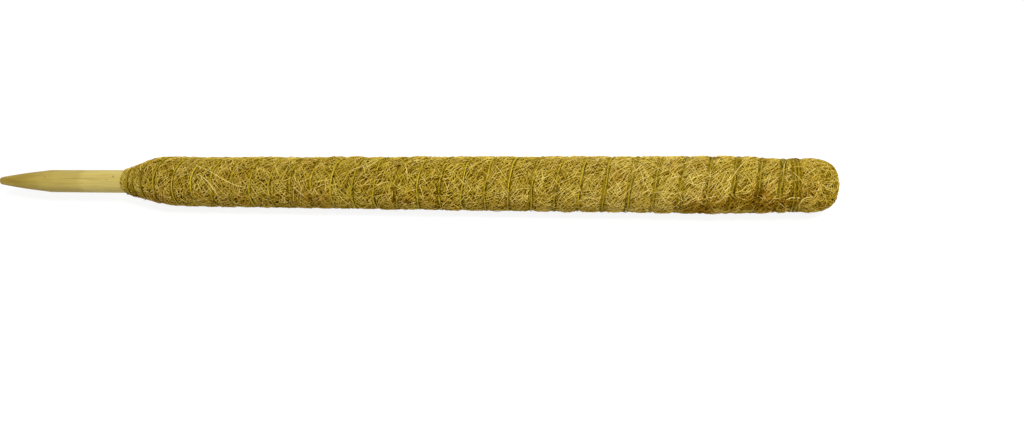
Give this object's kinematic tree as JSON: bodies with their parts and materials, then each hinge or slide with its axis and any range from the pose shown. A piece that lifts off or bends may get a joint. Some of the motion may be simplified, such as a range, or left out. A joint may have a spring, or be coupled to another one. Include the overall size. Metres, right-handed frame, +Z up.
{
  "type": "moss pole",
  "caption": "Round coir-covered climbing pole on a pointed wooden stake, bound with a helical twine and closed by a fibre dome; supports climbing plants in a pot.",
  "frame": {"origin": "on the floor under the middle of the pole, which lies on its side as pictured", "axes": "+X along the pole from the stake's point towards the domed top, +Z up, +Y to the back as pictured"},
  "size_m": [0.6, 0.035, 0.035],
  "materials": {
    "wood": "bare, fine grain",
    "coir": "matted natural coconut fibre",
    "twine": "twisted natural twine with a dull sheen"
  },
  "bodies": {
    "root": {"stake": "wood", "coir_core": "coir", "coir_mat": "coir", "end_pad": "coir", "neck_lashing": "twine", "body_winding": "twine", "top_lashing": "twine"}
  },
  "joints": []
}
